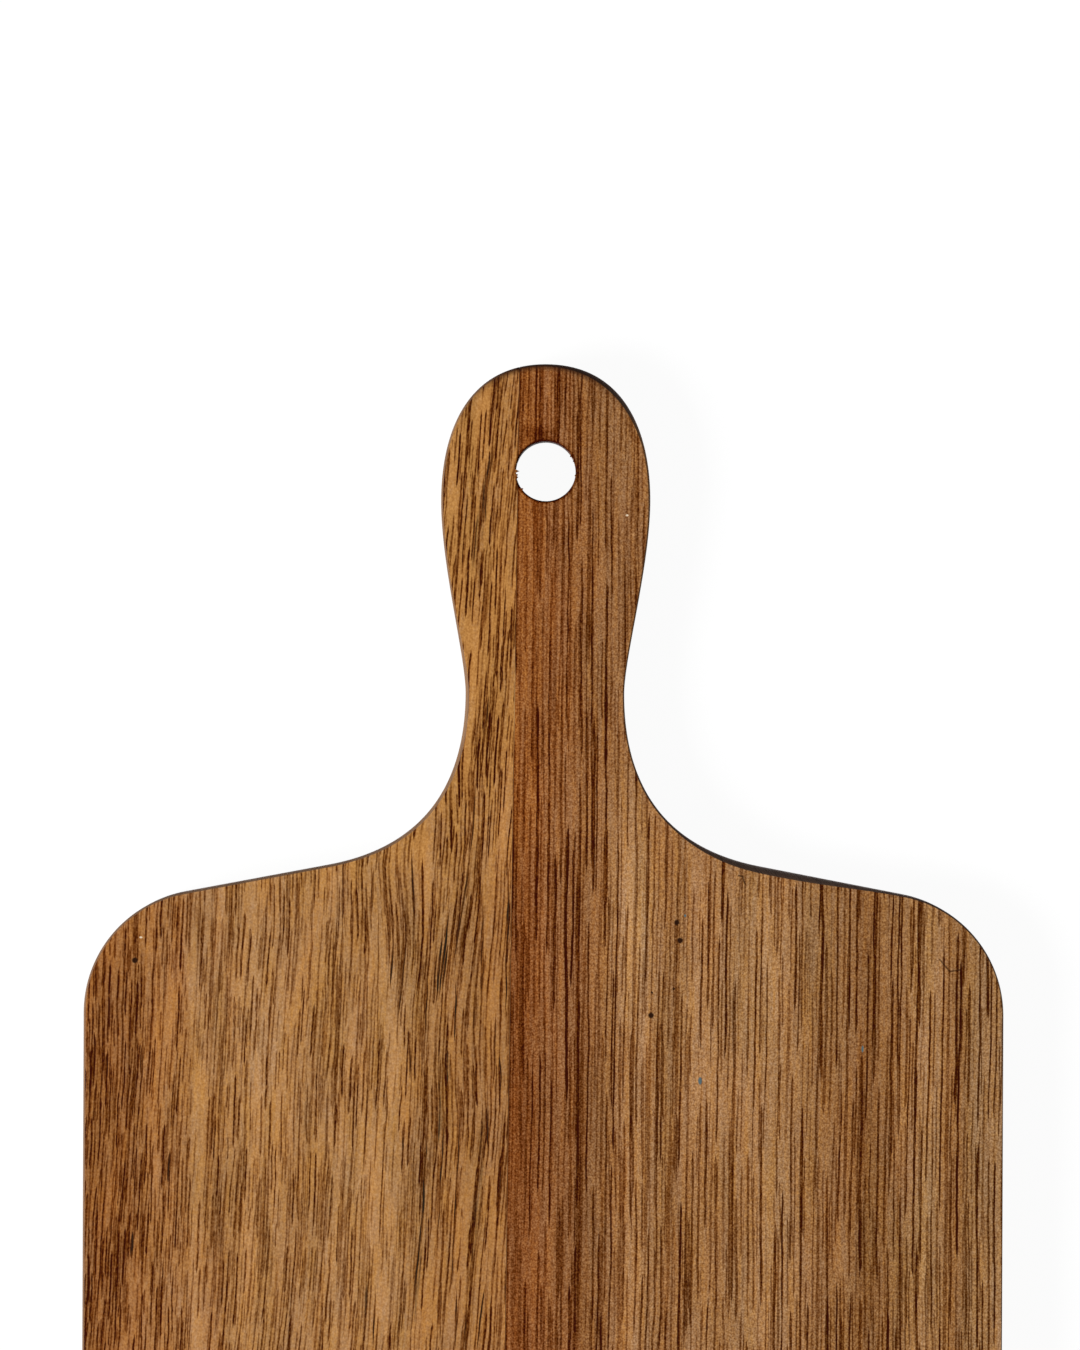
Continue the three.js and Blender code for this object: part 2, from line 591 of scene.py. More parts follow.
def vessels(place, kind, share):
    """How dark the lines of one kind are, each with its own strength. A share of the cells hold a line."""
    across, along, _ = place
    tree = across.tree
    lane = across / kind.spacing + kind.seed * LINE_SEED_STEP
    column = lane.math("FLOOR")
    stagger, _, _ = random_values(tree, column, kind.seed, STAGGER_KEY)
    run = along / kind.length + stagger * LINE_STAGGER + FIRST_ROW
    row = run.math("FLOOR")
    offset, reach, chance = random_values(tree, column, row, kind.seed)
    from_line = (lane - column - offset.between(*LINE_PLACES)).size() * kind.spacing
    from_middle = (run - row - 0.5).size() * 2
    body = ((reach.between(*LINE_LENGTHS) - from_middle) * kind.taper).within_one()
    half_width = body * offset.between(*LINE_WIDTHS) * (kind.width / 2) + (body - 1) * kind.blur
    line = (half_width - from_line).step(-kind.blur, kind.blur)
    rank = chance / share.most(LEAST_SHARE)
    present = rank.step(*LAST_LINE)
    return line * present * rank.between(*LINE_STRENGTHS) * kind.darkness


def streaks_at(x, y, streaks, blur):
    """The strongest of several lines that narrow to nothing at both ends."""
    lines = []
    for middle_x, middle_y, length, width, lean, strength in streaks:
        from_line = (x - y * lean - (middle_x - middle_y * lean)).size()
        along = (y - middle_y) * (2 / length)
        half_width = along * along * -(width / 2 + blur) + width / 2
        lines.append((half_width - from_line).step(-blur, blur) * strength)
    return lines[0].most(*lines[1:])


def spot(x, y, centre_x, centre_y, reach_x, reach_y, blur):
    """1 inside an ellipse and 0 outside, with a soft border."""
    across = (x - centre_x) / reach_x
    along = (y - centre_y) / reach_y
    distance = (across * across + along * along).math("SQRT")
    return distance.step(1 + blur / 2, 1 - blur / 2)


def patches_at(x, y, patches):
    """The sum of soft patches, each by its place, its reach both ways and its amount."""
    total = 0
    for *place_and_reach, amount in patches:
        total = spot(x, y, *place_and_reach, PATCH_BLUR) * amount + total
    return total


def swerves_at(x, y, swerves):
    """How far the grain is moved to the right by places where it leans differently."""
    total = 0
    for centre_x, centre_y, reach_x, reach_y, lean in swerves:
        total = spot(x, y, centre_x, centre_y, reach_x, reach_y, PATCH_BLUR) * (y - centre_y) * lean + total
    return total


def marked(colour, x, y, flecks, paint):
    """A colour with small flecks of another one, each by its place and its reach both ways."""
    for place_and_reach in flecks:
        colour = mix(spot(x, y, *place_and_reach, FLECK_BLUR), colour, paint)
    return colour


def crack(x, y, points, width):
    """A thin mark along a few straight steps."""
    marks = []
    for (ax, ay), (bx, by) in zip(points, points[1:]):
        step_x, step_y = bx - ax, by - ay
        share = ((x - ax) * step_x + (y - ay) * step_y) / (step_x ** 2 + step_y ** 2)
        share = share.within_one()
        off_x = x - ax - share * step_x
        off_y = y - ay - share * step_y
        distance = (off_x * off_x + off_y * off_y).math("SQRT")
        marks.append((distance / width).step(*CRACK_BORDER))
    return marks[0].most(*marks[1:])


# Colours of the wood


def tone(red, green, blue):
    """A colour written as it looks on screen, 0 to 255, as the linear values that shaders take."""
    linear = []
    for value in (red, green, blue):
        share = value / 255
        linear.append(share / 12.92 if share <= 0.04045 else ((share + 0.055) / 1.055) ** 2.4)
    return (*linear, 1)


# Wood colour by lightness, 0 to 255, for greyish and for reddish wood
COOL_TONES = (
    (20, tone(50, 11, 0)),
    (50, tone(75, 44, 4)),
    (80, tone(102, 75, 40)),
    (110, tone(135, 106, 66)),
    (140, tone(167, 136, 91)),
    (170, tone(196, 165, 122)),
)
WARM_TONES = (
    (20, tone(57, 9, 0)),
    (50, tone(93, 41, 2)),
    (80, tone(125, 68, 28)),
    (110, tone(157, 99, 53)),
    (140, tone(187, 129, 78)),
    (170, tone(216, 158, 103)),
)
# Casts that the wood's colour is multiplied by, from golden to greyish
GOLDEN_CAST = (1.074, 0.99, 0.705, 1)
GREYISH_CAST = (0.926, 1.01, 1.29, 1)

CHARCOAL_TONE = tone(40, 30, 20)
KNOT_TONE = tone(42, 20, 8)
PALE_FLECK_TONE = tone(226, 205, 176)
BLUISH_TONE = tone(86, 104, 108)
TIP_SHADE_TONE = tone(58, 32, 18)
# Eased edges, with painted light and shade: a greyish painted sheen on the left; on the right, painted shade
# where they face the tip, away from the lamp, and paler painted light along the handle and the side
LEFT_EDGE_SHEEN_TONE = tone(126, 98, 76)
RIGHT_EDGE_SHADE_TONE = tone(88, 72, 64)
RIGHT_HANDLE_EDGE_LIT_TONE = tone(138, 100, 68)
RIGHT_SIDE_EDGE_LIT_TONE = tone(150, 115, 84)
EDGE_LIGHT_AND_SHADE_SHARE = 0.85
# the painted shade on the right's eased edges comes in as they face the tip, away from the lamp
SHADE_FACING_TIP = (0.15, 0.5)  # how far an eased edge faces the tip where it begins to be dark and is all dark


def wood_colour(lightness, warmth, greyness):
    wood = mix(warmth, lightness.ramp(COOL_TONES), lightness.ramp(WARM_TONES))
    return mix(1.0, wood, mix(greyness, GOLDEN_CAST, GREYISH_CAST), "MULTIPLY")


# Both staves

HANDLE_FROM = 70  # the handle's own tones come in between these two places along Y
HANDLE_TO = 92
MARKS_FADE = (TOP_Z - 4, TOP_Z - 2)  # the marks of the serving face end between these heights
END_GRAIN_FACING = (0.4, 0.85)  # how far a wall faces along the board where end grain begins and is full
RIM_REACH = HOLE_RADIUS + 0.5  # of the dark rim round the hole
RIM_BLUR = 0.08
RIM_DARKNESS = 45
BLOTCHES_WARMER = 0.1
BUMP_STRENGTH = 0.7
LINE_DEPTH = 0.0006  # millimetres for each step of darkness
OILED_ROUGHNESS = 0.45
LINE_ROUGHNESS = 0.002  # added for each step of darkness
SPECULAR = 0.03


class Stave:
    """The wood of a stave: the place in it, and how far that is face, edge, wall, end grain, rim and handle,
    and where shade is painted.

    The place moves sideways through the thickness, as the rings do.
    """

    def __init__(self, tree, ring_slant):
        x, y, z = board_place(tree)
        facing = parts_of(tree, tree.nodes.new("ShaderNodeNewGeometry").outputs["Normal"])
        self.x = x + (z * -1 + TOP_Z) * ring_slant
        self.y = y
        self.place = (self.x, y, z)
        self.face = z.step(*MARKS_FADE)
        self.wall = mesh_value(tree, "wall")
        self.end_grain = self.wall * facing[1].size().step(*END_GRAIN_FACING)
        self.rim = spot(self.x, y, *HOLE_CENTRE, RIM_REACH, RIM_REACH, RIM_BLUR)
        self.eased = mesh_value(tree, "eased") * self.rim.rest()
        self.tip_shade = mesh_value(tree, "tip_shade")
        # where painted shade falls on eased edges that face the tip, away from the lamp
        self.shade_towards_tip = facing[1].step(*SHADE_FACING_TIP)
        self.handle = y.step(HANDLE_FROM, HANDLE_TO)


def oil_finish(shader, colour, lines, grit):
    """Sets the colour and the oiled surface, with shallow, duller lines and some grit in millimetres."""
    tree = colour.tree
    plug(tree, shader.inputs["Base Color"], colour)
    plug(tree, shader.inputs["Roughness"], lines * LINE_ROUGHNESS + OILED_ROUGHNESS)
    shader.inputs["Specular IOR Level"].default_value = SPECULAR
    bump = tree.nodes.new("ShaderNodeBump")
    bump.inputs["Strength"].default_value = BUMP_STRENGTH
    bump.inputs["Distance"].default_value = MM
    plug(tree, bump.inputs["Height"], lines * -LINE_DEPTH + grit)
    tree.links.new(bump.outputs["Normal"], shader.inputs["Normal"])


# Left stave: golden, with short dark dashes, a pale stripe and near-black streaks

# Zones across the board, each by X and the value there
LEFT_LIGHTNESS = (
    (-100, 117), (-94, 114), (-88, 118), (-81, 124), (-77.2, 124), (-76.5, 138), (-74.4, 138), (-73.6, 131),
    (-68, 130), (-63, 136), (-56, 131), (-50, 131), (-44, 134), (-39, 130), (-33, 133), (-29, 127),
    (-18, 124), (-7, 124),
)
LEFT_WARMTH = ((-100, 0.74), (-79, 0.7), (-70, 0.58), (-40, 0.56), (-20, 0.58), (-7, 0.66))
LEFT_GREYNESS = ((-100, 0.38), (-60, 0.46), (-38, 0.36), (-22, 0.37), (-7, 0.38))
# Strength of the lines
LEFT_LINES = (
    (-100, 1), (-77.2, 1), (-76.5, 0.8), (-74.4, 0.8), (-73.6, 0.88), (-45, 0.88), (-36, 0.95), (-28, 1),
)
# Share of the cells that hold a line
LEFT_SHORT_LINES = (
    (-100, 0.9), (-77.4, 0.82), (-76.7, 0.15), (-74.2, 0.15), (-73.2, 0.75), (-45, 0.65), (-37, 0.5),
    (-28, 0.45), (-7, 0.4),
)
LEFT_LONG_LINES = (
    (-100, 0.25), (-77.4, 0.3), (-76.7, 0.1), (-74.2, 0.1), (-73.2, 0.5), (-46, 0.6), (-36, 0.6),
    (-28, 0.8), (-7, 0.8),
)
LEFT_FINE_FEWER = 0.2  # taken from the share of the short lines
LEFT_THREADS_SHARE = 0.85  # of the share of the long lines
LEFT_STRONG_SHARE = 0.6
LEFT_SHORT_OVERLAP = 0.3  # share of a short line's darkness that is added to what it crosses
# On the handle: the share of the cells that hold a line, and what is added to the rest
LEFT_HANDLE_SHORT_LINES = 0.68
LEFT_HANDLE_LONG_LINES = 0.45
LEFT_HANDLE_LIGHTER = 10
LEFT_HANDLE_GREYNESS = -0.32
LEFT_HANDLE_DARKER_DASHES = 0.25
# On the walls, where the greyness is a painted sheen
LEFT_WALL_DARKER = 4
LEFT_WALL_SHEEN_GREYNESS = 0.3
LEFT_END_GRAIN_DARKER = 30

# How far the zones have moved to the left, and the grain to the right, by Y
LEFT_STRIPE_BEND = ((0, -0.2), (20, -0.4), (34, -0.6), (47, -0.1), (61, 1.2), (71, 2.6), (90, 4.5))
LEFT_GRAIN = ((-190, -14.6), (20, 0.8), (80, 3.2), (190, 12.8))
LEFT_CROSS_GRAIN = 0.8  # share of that lean in the lines that cross the others
LEFT_RING_SLANT = -1.0  # millimetres to the left for each one below the serving face
# Where the grain leans more or less than around it, each by place, reach both ways and the lean that is added
LEFT_SWERVES = (
    (-19, 62, 10, 26, 0.08),
    (-33, 72, 8, 16, -0.08),
)

# Noise that bends the grain, varies the tone, and breaks up the lines
LEFT_BEND = Noise(25, 45, 14, seed=1, swing=0.5)
LEFT_WANDER = Noise(4, 8, 4, seed=7, swing=0.14)
LEFT_BANDS = Noise(0.9, 28, 1, seed=2, detail=2)
LEFT_BLOTCHES = Noise(4, 28, 5, seed=8, detail=2)
LEFT_FIBRE = Noise(0.35, 2.6, 0.35, seed=5, detail=2, swing=8)
LEFT_SPECKLE = Noise(0.4, 0.5, 0.4, seed=6)
LEFT_CAST_BANDS = Noise(0.9, 9, 0.9, seed=9, detail=2, swing=0.25)
LEFT_CAST_BLOTCHES = Noise(6, 20, 6, seed=37, detail=2, swing=0.2)
LEFT_CAST_SPECKLE = Noise(0.6, 0.8, 0.6, seed=10, swing=0.2)
LEFT_STRANDS = Noise(0.3, 7, 0.4, seed=38)
LEFT_BREAKS = Noise(0.3, 1.1, 0.3, seed=35, swing=0.4)
# What some of it and the patches do: fewer lines, lighter wood and a rough surface, in millimetres
LEFT_BANDS_FEWER = 0.2
LEFT_BLOTCHES_FEWER = 0.25
LEFT_PATCHES_FEWER = 0.03
LEFT_BANDS_LIGHTER = 3
LEFT_BLOTCHES_LIGHTER = 5
LEFT_SPECKLE_LIGHTER = 14
LEFT_GRIT = 0.006

LEFT_FINE = Lines(spacing=0.75, length=10, width=0.29, taper=5, blur=0.11, darkness=54, seed=31)
LEFT_DASHES = Lines(spacing=0.95, length=18, width=0.36, taper=5, blur=0.11, darkness=80, seed=32)
LEFT_LONG = Lines(spacing=1.1, length=42, width=0.35, taper=4, blur=0.11, darkness=82, seed=33)
LEFT_THREADS = Lines(spacing=0.9, length=50, width=0.31, taper=6, blur=0.11, darkness=57, seed=36)
LEFT_STRONG = Lines(spacing=2.4, length=40, width=0.44, taper=4, blur=0.11, darkness=94, seed=34)

# Dark streaks that stand out, each by X and Y of its middle, length, width, lean and strength
LEFT_INNER_STREAKS = (
    (-21.6, 61.8, 23, 0.55, 0.12, 1.0),
    (-21.4, 58.7, 13, 0.5, 0.11, 1.0),
    (-22.7, 58.3, 18, 0.55, 0.09, 0.95),
    (-23.6, 57.0, 14, 0.4, 0.1, 0.7),
    (-17.8, 71.7, 28, 0.5, 0.15, 0.75),
    (-19.2, 49.0, 16, 0.45, 0.02, 0.95),
    (-13.4, 61.0, 28, 0.7, 0.02, 0.7),
    (-7.9, 65.3, 42, 0.5, 0.02, 0.85),
    (-28.5, 76.1, 20, 0.5, -0.05, 0.75),
    (-37.3, 74.8, 12, 0.7, 0.04, 0.65),
    (-33.6, 68.5, 10, 0.7, -0.03, 0.65),
    (-33.0, 60.0, 13, 0.5, 0.07, 0.85),
    (-30.8, 55.1, 21, 0.5, 0.1, 0.75),
    (-25.5, 49.6, 26, 0.45, 0.04, 0.75),
    (-22.5, 34.3, 12, 0.5, 0.02, 0.8),
    (-15.2, 48.0, 14, 0.5, 0.02, 0.65),
    (-10.7, 40.6, 20, 0.45, 0.03, 0.85),
    (-9.5, 35.9, 10, 0.6, -0.02, 0.8),
    (-29.0, 39.1, 10, 0.45, 0.0, 0.75),
    (-38.3, 50.0, 42, 0.3, 0.0, 0.55),
    (-36.0, 57.3, 38, 0.3, 0.01, 0.6),
    (-25.9, 10.1, 26, 0.5, 0.05, 0.95),
    (-27.3, -7.0, 26, 0.6, 0.08, 0.9),
    (-22.2, 12.9, 30, 0.4, 0.045, 0.85),
    (-18.9, 8.3, 48, 0.4, 0.05, 0.85),
    (-11.9, 22.5, 12, 0.45, -0.02, 0.8),
    (-9.4, 11.7, 8, 0.45, 0.07, 0.7),
    (-13.4, -17.6, 16, 0.45, 0.11, 0.85),
    (-15.4, -1.8, 14, 0.45, -0.06, 0.6),
    (-16.7, -19.2, 13, 0.5, 0.07, 0.75),
    (-18.8, -17.8, 16, 0.45, 0.03, 0.75),
    (-22.0, -16.7, 14, 0.4, 0.03, 0.75),
    (-36.5, -17.7, 15, 0.4, 0.04, 0.8),
    (-30.5, 20.6, 9, 0.4, -0.03, 0.75),
    (-34.6, 6.0, 17, 0.3, 0.04, 0.55),
    (-37.7, 11.2, 16, 0.3, 0.03, 0.55),
)
LEFT_OUTER_STREAKS = (
    (-95.1, 36, 8, 0.8, 0.04, 0.7),
    (-87.2, 39, 9, 0.7, 0.04, 0.7),
    (-89.9, 44, 12, 0.8, 0.04, 0.45),
    (-81.3, 15, 8, 0.6, 0.05, 0.8),
    (-82.1, 7, 8, 0.5, 0.05, 0.7),
    (-89.2, -2, 7, 0.8, 0.05, 0.8),
    (-91.7, 13, 8, 0.6, 0.05, 0.6),
    (-90.2, 60, 6, 1.0, 0.03, 0.45),
    (-70.6, 55, 12, 0.45, 0.03, 0.7),
    (-60.6, 4, 12, 0.45, 0.05, 0.7),
)
LEFT_HANDLE_STREAKS = (
    (-11.8, 170, 16, 0.5, 0.08, 0.65),
    (-12.8, 163, 16, 0.6, 0.08, 0.8),
    (-14.0, 158, 18, 0.6, 0.09, 0.65),
    (-15.4, 151, 12, 0.5, 0.09, 0.55),
    (-13.6, 135, 16, 0.9, 0.08, 0.5),
    (-12.8, 112, 14, 0.6, 0.09, 0.75),
    (-15.5, 91, 18, 0.5, 0.07, 0.75),
    (-17.4, 82, 16, 0.5, 0.07, 0.65),
)
LEFT_STREAKS = LEFT_INNER_STREAKS + LEFT_OUTER_STREAKS + LEFT_HANDLE_STREAKS
LEFT_STREAK_DARKNESS = 100
# Strands in the streaks: their border in the noise, and how strong streaks are between and in them
LEFT_STRAND_BORDER = (-0.5, 0.4)
LEFT_STREAK_STRENGTHS = (0.7, 1.1)
LEFT_CHARCOAL_STRENGTHS = (0.1, 1)
LEFT_CHARCOAL_FROM = (0.55, 1.05)  # strength of a streak where it begins to be charcoal and is all charcoal
LEFT_CHARCOAL = (
    (-20.9, 37.2, 9, 0.9, 0.0, 0.9),
    (-22.5, 25.8, 13, 0.8, 0.04, 0.9),
    (-27.0, -10, 22, 0.6, 0.08, 0.6),
    (-38.3, -13.5, 9, 0.6, 0.05, 0.7),
    (-12.8, 24, 18, 1.6, 0.1, 0.35),
    (-14.2, 6, 26, 1.4, 0.1, 0.4),
    (-13.1, 161, 22, 1.3, 0.09, 0.6),
    (-15.4, 151, 16, 1.0, 0.09, 0.5),
)

# Patches that are paler or darker than the rest, each by place, reach both ways and change of lightness
LEFT_PATCHES = (
    (-37.5, 4, 7, 24, 5),
    (-33, 47, 5, 17, 5),
    (-22.7, 76, 5, 8, 7),
    (-78.9, 72, 2.4, 20, -9),
    (-95, 20, 8, 60, -8),
    (-61, 44, 9, 20, 4),
    (-71.5, -10, 3.4, 28, -9),
)
# Pin knots and pale flecks, each by place and reach both ways
LEFT_KNOTS = ((-88.9, 60.0, 0.62, 0.62),)
LEFT_PALE_FLECKS = ((-87.6, 65.0, 0.32, 0.2),)


def left_lines(stave, zone, braid, cross, fewer):
    """The dark lines of the left stave, as the lightness that they take away."""
    short_share = blend(stave.handle, profile(zone, LEFT_SHORT_LINES), LEFT_HANDLE_SHORT_LINES) - fewer
    long_share = blend(stave.handle, profile(zone, LEFT_LONG_LINES), LEFT_HANDLE_LONG_LINES) - fewer
    fine = vessels(braid, LEFT_FINE, short_share - LEFT_FINE_FEWER)
    dashes = vessels(cross, LEFT_DASHES, short_share)
    long = vessels(braid, LEFT_LONG, long_share)
    threads = vessels(cross, LEFT_THREADS, long_share * LEFT_THREADS_SHARE)
    strong = vessels(cross, LEFT_STRONG, long_share * LEFT_STRONG_SHARE)
    short = fine.most(dashes) * (stave.handle * LEFT_HANDLE_DARKER_DASHES + 1)
    strength = profile(zone, LEFT_LINES) * (swing(braid, LEFT_BREAKS) + 1)
    return (long.most(threads, strong, short) + short * LEFT_SHORT_OVERLAP) * strength


def left_wood():
    material, tree, shader = new_material("left_stave_wood")
    stave = Stave(tree, LEFT_RING_SLANT)
    x, y, z = stave.place
    zone = x + profile(y, LEFT_STRIPE_BEND)
    patches = patches_at(x, y, LEFT_PATCHES) * stave.face

    # Two sets of lines that lean differently, as interlocked grain does
    shift = profile(y, LEFT_GRAIN)
    bend = swing(stave.place, LEFT_BEND) - swerves_at(x, y, LEFT_SWERVES)
    wander = swing(stave.place, LEFT_WANDER)
    braid = (x - shift + bend + wander, y, z)
    cross = (x - shift * LEFT_CROSS_GRAIN + bend - wander, y, z)

    bands = swing(cross, LEFT_BANDS)
    blotches = swing(cross, LEFT_BLOTCHES)
    speckle = swing(stave.place, LEFT_SPECKLE)
    fewer = bands * LEFT_BANDS_FEWER + blotches * LEFT_BLOTCHES_FEWER + patches * LEFT_PATCHES_FEWER
    lines = left_lines(stave, zone, braid, cross, fewer)
    strands = swing(braid, LEFT_STRANDS).step(*LEFT_STRAND_BORDER)
    streaks = streaks_at(x + wander, y, LEFT_STREAKS, LEFT_STREAK_BLUR) * stave.face
    streaks = streaks * strands.between(*LEFT_STREAK_STRENGTHS)
    charcoal = streaks_at(x + wander, y, LEFT_CHARCOAL, CHARCOAL_BLUR) * stave.face
    charcoal = charcoal * strands.between(*LEFT_CHARCOAL_STRENGTHS)

    ground = profile(zone, LEFT_LIGHTNESS) + stave.handle * LEFT_HANDLE_LIGHTER + patches
    ground = ground + bands * LEFT_BANDS_LIGHTER + blotches * LEFT_BLOTCHES_LIGHTER
    ground = ground + swing(braid, LEFT_FIBRE) + speckle * LEFT_SPECKLE_LIGHTER
    lightness = (ground - lines).least(ground - streaks * LEFT_STREAK_DARKNESS)
    lightness = lightness - stave.end_grain * LEFT_END_GRAIN_DARKER - stave.wall * LEFT_WALL_DARKER
    lightness = lightness - stave.rim * RIM_DARKNESS
    warmth = profile(x, LEFT_WARMTH) + blotches * BLOTCHES_WARMER
    greyness = profile(x, LEFT_GREYNESS) + stave.handle * LEFT_HANDLE_GREYNESS
    # the walls' greyness is a painted sheen
    greyness = greyness + stave.wall * LEFT_WALL_SHEEN_GREYNESS + swing(stave.place, LEFT_CAST_SPECKLE)
    greyness = greyness + swing(braid, LEFT_CAST_BANDS) + swing(cross, LEFT_CAST_BLOTCHES)

    colour = wood_colour(lightness, warmth, greyness)
    colour = mix(charcoal.most(streaks.step(*LEFT_CHARCOAL_FROM)), colour, CHARCOAL_TONE)
    # a greyish painted sheen on the left stave's eased edges
    colour = mix(stave.eased * EDGE_LIGHT_AND_SHADE_SHARE, colour, LEFT_EDGE_SHEEN_TONE)
    # painted shade near the tip, darker towards the edge, as of a rounded edge turned from the lamp
    colour = mix(stave.tip_shade, colour, TIP_SHADE_TONE)
    colour = marked(colour, x, y, LEFT_KNOTS, KNOT_TONE)
    colour = marked(colour, x, y, LEFT_PALE_FLECKS, PALE_FLECK_TONE)
    oil_finish(shader, colour, lines, speckle * LEFT_GRIT)
    return material


# Right stave: browner, with straight lines, a russet zone beside the seam, pin knots, cracks and speckle

# Zones across the board and across the handle, each by X and the value there
RIGHT_LIGHTNESS = (
    (-10, 110), (-7, 104), (-6, 90), (-3, 94), (1, 105), (5, 101), (8, 94), (11, 106), (15, 110), (19, 128),
    (24, 123), (28, 112), (33, 122), (40, 119), (48, 131), (54, 125), (62, 112), (66, 117), (70, 99),
    (74, 112), (78, 117), (83, 134), (87, 124), (90, 109), (94, 122), (100, 125),
)
RIGHT_HANDLE_LIGHTNESS = (
    (-7, 100), (-4, 104), (-1.2, 106), (-0.6, 102), (0.4, 108), (6, 107), (16, 112), (23, 113),
)
RIGHT_WARMTH = ((-10, 1.0), (-2, 1.0), (6, 0.8), (14, 0.62), (60, 0.55), (90, 0.55), (93, 0.42), (100, 0.42))
RIGHT_GREYNESS = ((-10, 0.66), (8, 0.76), (14, 0.62), (90, 0.58), (94, 0.68))
RIGHT_HANDLE_GREYNESS = ((-7, 0.24), (-2, 0.34), (1, 0.66), (23, 0.6))
# Strength of the lines
RIGHT_LINES = ((-10, 0.45), (-4, 0.6), (-1, 0.9), (12, 0.95), (60, 1), (100, 1.05))
RIGHT_HANDLE_LINES = -0.12  # added on the handle, as a share
RIGHT_LINE_SHARE = 0.85  # of the cells that hold a line
RIGHT_FINE_SHARE = 0.7  # of that share
RIGHT_STRONG_SHARE = 0.75
# On the walls
RIGHT_WALL_DARKER = 10
RIGHT_END_GRAIN_DARKER = 45

# How far the grain has moved to the right by Y
RIGHT_GRAIN = ((-190, -1.2), (190, 1.2))
RIGHT_CROSS_GRAIN = 1.4  # share of that lean in the lines that cross the others
RIGHT_RING_SLANT = 1.0  # millimetres to the left for each one below the serving face

# Noise that bends the grain, varies the tone, and breaks up the lines
RIGHT_BEND = Noise(30, 80, 20, seed=11, swing=0.35)
RIGHT_WANDER = Noise(6, 16, 6, seed=17, swing=0.14)
RIGHT_RIPPLE = Noise(2.2, 6, 2.2, seed=47, swing=0.07)
RIGHT_BANDS = Noise(1.6, 110, 6, seed=15, detail=2)
RIGHT_BLOTCHES = Noise(6, 35, 7, seed=18, detail=2)
RIGHT_FIBRE = Noise(0.4, 14, 0.4, seed=19, detail=2, swing=6)
RIGHT_SPECKLE = Noise(0.34, 0.4, 0.34, seed=14)
RIGHT_CAST_BANDS = Noise(0.9, 20, 0.9, seed=9, detail=2, swing=0.35)
RIGHT_CAST_SPECKLE = Noise(0.6, 0.8, 0.6, seed=10, swing=0.25)
RIGHT_SHORT_BREAKS = Noise(0.3, 2.5, 0.3, seed=45, swing=0.25)
RIGHT_LONG_BREAKS = Noise(0.5, 9, 0.5, seed=46)
RIGHT_LONG_BREAK_SWINGS = (0.2, 0.35)  # on the board and on the handle
# What some of it and the patches do: fewer lines, lighter wood and a rough surface, in millimetres
RIGHT_BANDS_FEWER = 0.1
RIGHT_BLOTCHES_FEWER = 0.08
RIGHT_PATCHES_FEWER = 0.01
RIGHT_BANDS_LIGHTER = 2.5
RIGHT_BLOTCHES_LIGHTER = 3
RIGHT_SPECKLE_LIGHTER = 26
RIGHT_GRIT = 0.008

RIGHT_FINE = Lines(spacing=0.95, length=24, width=0.34, taper=6, blur=0.07, darkness=56, seed=41)
RIGHT_MANY = Lines(spacing=1.35, length=48, width=0.46, taper=8, blur=0.07, darkness=88, seed=42)
RIGHT_STRONG = Lines(spacing=3.1, length=75, width=0.54, taper=10, blur=0.07, darkness=100, seed=44)

# Dark streaks that stand out, each by X and Y of its middle, length, width, lean and strength
RIGHT_STREAKS = (
    (-2.2, 180, 34, 0.4, 0.01, 1.5),
    (-1.4, 181, 30, 0.35, 0.01, 1.4),
    (2.6, 182, 30, 0.9, 0.01, 1.2),
    (5.7, 160, 150, 0.45, 0.01, 0.7),
    (9.2, 135, 90, 0.45, 0.01, 0.65),
    (14.6, 150, 100, 0.4, 0.01, 0.45),
    (17.4, 140, 60, 1.3, 0.01, 0.3),
    (19.6, 152, 70, 0.5, 0.01, 0.5),
    (2.2, 135, 80, 1.0, 0.01, 0.35),
    (-2.2, 140, 60, 0.8, 0.01, 0.4),
    (-2.3, 150, 36, 0.5, 0.01, 0.55),
    (-0.8, 152, 40, 0.4, 0.01, 0.6),
    (0.7, 150, 36, 0.4, 0.01, 0.5),
    (2.3, 148, 50, 0.5, 0.01, 0.6),
    (7.3, 60, 90, 0.8, 0.01, 0.35),
    (8.0, 10, 90, 1.5, 0.01, 0.5),
    (1.9, 72, 50, 0.7, 0.01, 0.5),
    (11.9, 45, 110, 0.5, 0.01, 0.5),
    (19.8, 60, 60, 0.9, 0.01, 0.5),
    (22.5, 15, 60, 0.9, 0.01, 0.6),
    (27.4, 8, 60, 0.9, 0.01, 0.5),
    (16.9, -5, 60, 1.4, 0.01, 0.4),
    (12.8, -12, 50, 1.0, 0.01, 0.6),
    (3.3, -6, 60, 0.6, 0.01, 0.6),
    (87.6, 0, 200, 0.8, 0.01, 0.7),
    (38.9, 70, 26, 0.5, 0.01, 0.6),
)
RIGHT_STREAK_DARKNESS = 62

# Patches that are paler or darker than the rest, each by place, reach both ways and change of lightness
RIGHT_PATCHES = (
    (18.2, 74, 4.5, 22, 13),
    (36.4, 36, 8, 20, 7),
    (25, 70, 30, 30, 6),
    (-6, 45, 4, 40, -8),
    (70, 0, 12, 60, -2),
    (-2.5, 174.5, 4.5, 2, -22),
)
# Pin knots and flecks, each by place and reach both ways
RIGHT_KNOTS = (
    (28.9, 68.7, 0.58, 0.58),
    (29.6, 64.8, 0.6, 0.6),
    (23.4, 48.5, 0.62, 0.62),
    (23.6, 53.5, 0.28, 0.28),
    (28.3, 54.3, 0.28, 0.28),
)
KNOT_RAGGEDNESS = 0.1  # millimetres that the speckle moves a knot's border
RIGHT_PALE_FLECKS = ((17.7, 157.2, 0.3, 0.22),)
BLUISH_FLECKS = ((34.1, 34.3, 0.4, 0.8), (69.4, 41.4, 0.25, 0.7), (30.7, 70.2, 0.25, 0.3))
